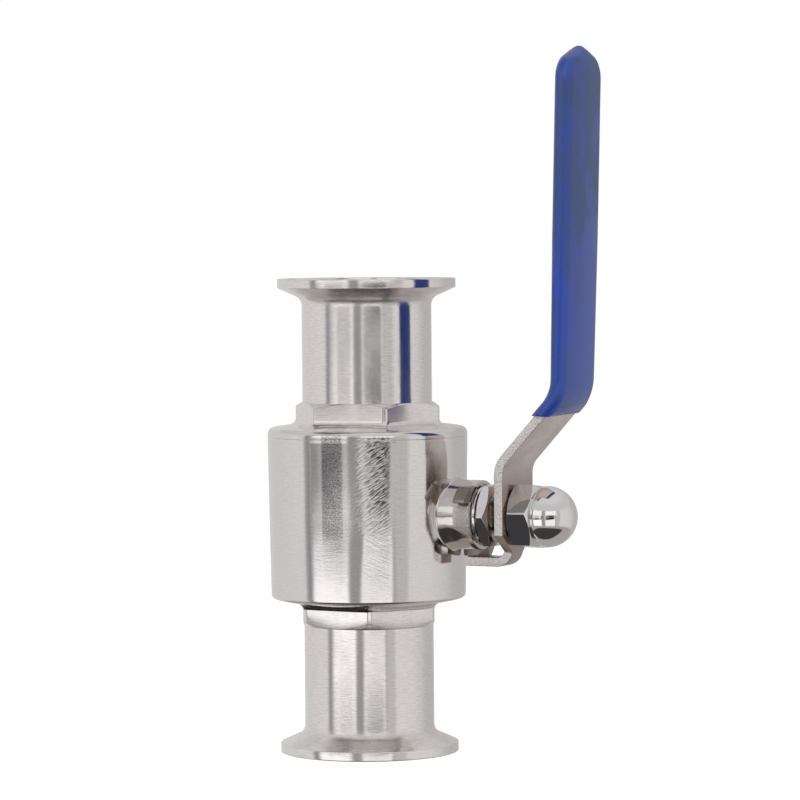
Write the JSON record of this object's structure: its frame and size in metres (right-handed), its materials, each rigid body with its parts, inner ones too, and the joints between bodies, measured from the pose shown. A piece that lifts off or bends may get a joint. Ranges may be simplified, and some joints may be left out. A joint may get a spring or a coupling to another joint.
{
  "type": "sanitary ball valve",
  "caption": "Two-piece sanitary ball valve with clamp ferrule ends, full bore ball, packed stem and a cranked lever with a dipped blue grip.",
  "frame": {"origin": "centre of the lower ferrule's clamp face, on the pipe's axis", "axes": "+Z along the pipe from the lower to the upper ferrule, +X outwards along the stem towards the lever"},
  "size_m": [0.0974, 0.0566, 0.1979],
  "materials": {
    "body_steel": "stainless steel, turned and buffed with a fine brushed lay",
    "polished_steel": "stainless steel, polished to a mirror",
    "lever_steel": "stainless strip, satin faces and sheared grainy edges",
    "sleeve_vinyl": "dipped vinyl, glossy blue",
    "seal_ptfe": "white PTFE"
  },
  "bodies": {
    "housing": {"valve_body": "body_steel", "end_cap": "body_steel", "body_gasket": "seal_ptfe", "seat_lower": "seal_ptfe", "seat_upper": "seal_ptfe", "thrust_washer": "seal_ptfe", "packing_base": "seal_ptfe", "packing_ring_lower": "seal_ptfe", "packing_ring_upper": "seal_ptfe", "packing_header": "seal_ptfe", "gland_follower": "polished_steel"},
    "stem_set": {"stem": "polished_steel", "stem_nut": "polished_steel", "lever": "lever_steel", "grip_sleeve": "sleeve_vinyl", "dome_nut": "polished_steel"},
    "ball": {"ball": "polished_steel"}
  },
  "joints": [
    {"name": "lever_turn", "type": "hinge", "parent": "housing", "child": "stem_set", "pos_m": [0, 0, 0.068], "axis": [1, 0, 0], "range_deg": [-90, 0]},
    {"name": "ball_turn", "type": "hinge", "parent": "housing", "child": "ball", "pos_m": [0, 0, 0.068], "axis": [1, 0, 0], "range_deg": [-90, 0]}
  ],
  "couplings": [
    {"joint": "ball_turn", "follows": "lever_turn", "ratio": 1}
  ]
}
